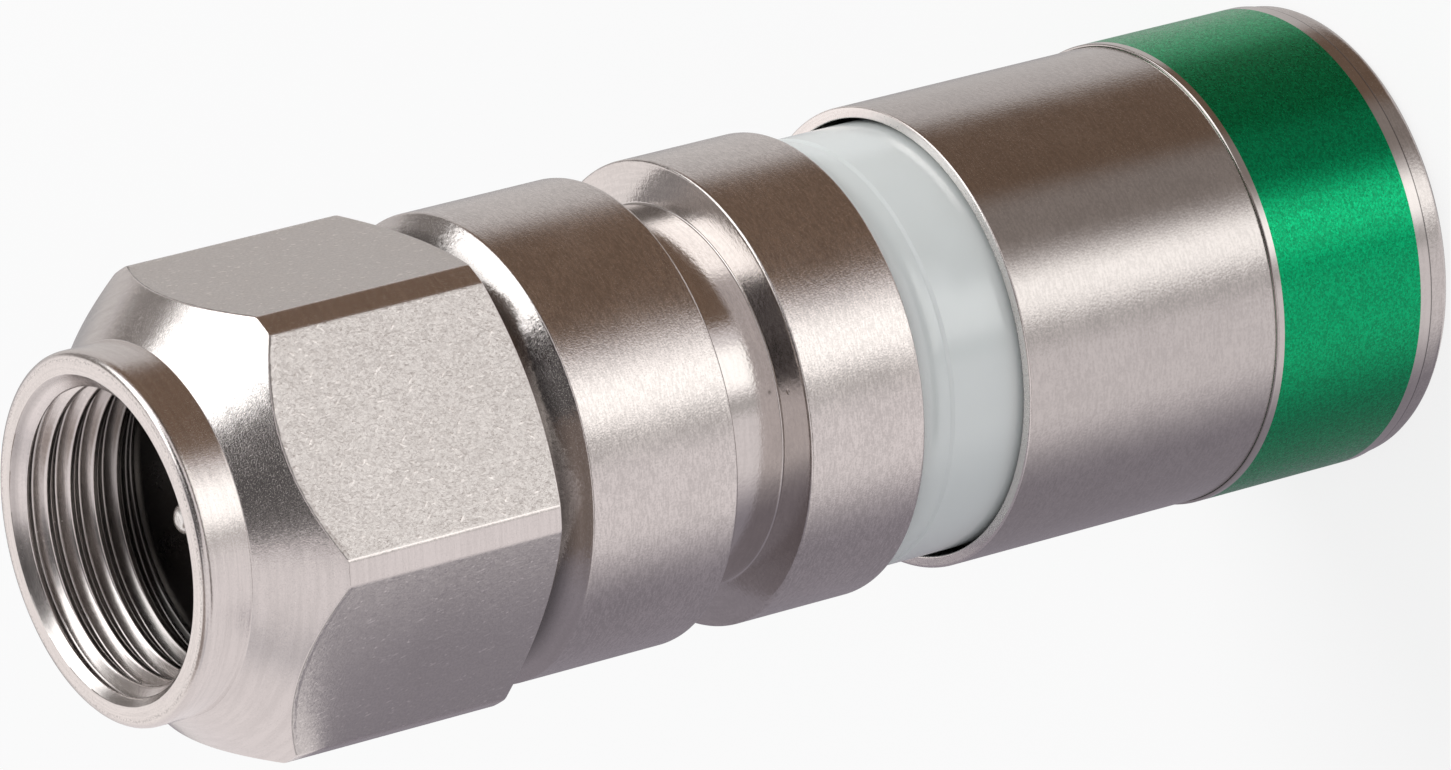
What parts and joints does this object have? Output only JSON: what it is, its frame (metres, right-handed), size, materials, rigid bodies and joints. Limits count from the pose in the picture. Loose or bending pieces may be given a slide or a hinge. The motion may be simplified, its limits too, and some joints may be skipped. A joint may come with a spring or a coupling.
{
  "type": "f connector",
  "caption": "Compression coaxial F connector, open state: hexagon coupling nut, grooved body, white compression insert, sliding sleeve with a green band and a captive centre pin.",
  "frame": {"origin": "centre of the cable end, on the plane that the sleeve stands on", "axes": "+Z along the connector's axis from the cable end to the nut's nose; -Y is the outward normal of one of the nut's flats at rest"},
  "size_m": [0.015, 0.0142, 0.0434],
  "materials": {
    "satin_plating": "brass with nickel-tin plating, satin, finely turned",
    "grained_plating": "brass with nickel-tin plating, fine matte grain on the flats",
    "inner_plating": "brass with tin plating, smooth",
    "pin_plating": "plated pin, bright",
    "white_plastic": "moulded white acetal, glossy",
    "black_plastic": "black insulator",
    "natural_plastic": "natural white insulator",
    "black_rubber": "black sealing rubber",
    "green_film": "metallic green film"
  },
  "bodies": {
    "sleeve": {"compression_sleeve": "satin_plating", "marking_band": "green_film"},
    "shell": {"connector_body": "satin_plating", "compression_insert": "white_plastic", "contact_ferrule": "inner_plating", "nut_seal": "black_rubber", "front_insulator": "black_plastic", "braid_post": "inner_plating"},
    "nut": {"coupling_nut": "grained_plating"},
    "pin": {"centre_pin": "pin_plating", "pin_guide": "natural_plastic"}
  },
  "joints": [
    {"name": "sleeve_closing", "type": "slide", "parent": "sleeve", "child": "shell", "axis": [0, 0, -1], "range_m": [0, 0.00375]},
    {"name": "nut_spin", "type": "hinge", "parent": "shell", "child": "nut", "pos_m": [0, 0, 0.0378], "axis": [0, 0, 1], "continuous": true},
    {"name": "pin_travel", "type": "slide", "parent": "shell", "child": "pin", "axis": [0, 0, 1], "range_m": [0, 0.00375]}
  ]
}
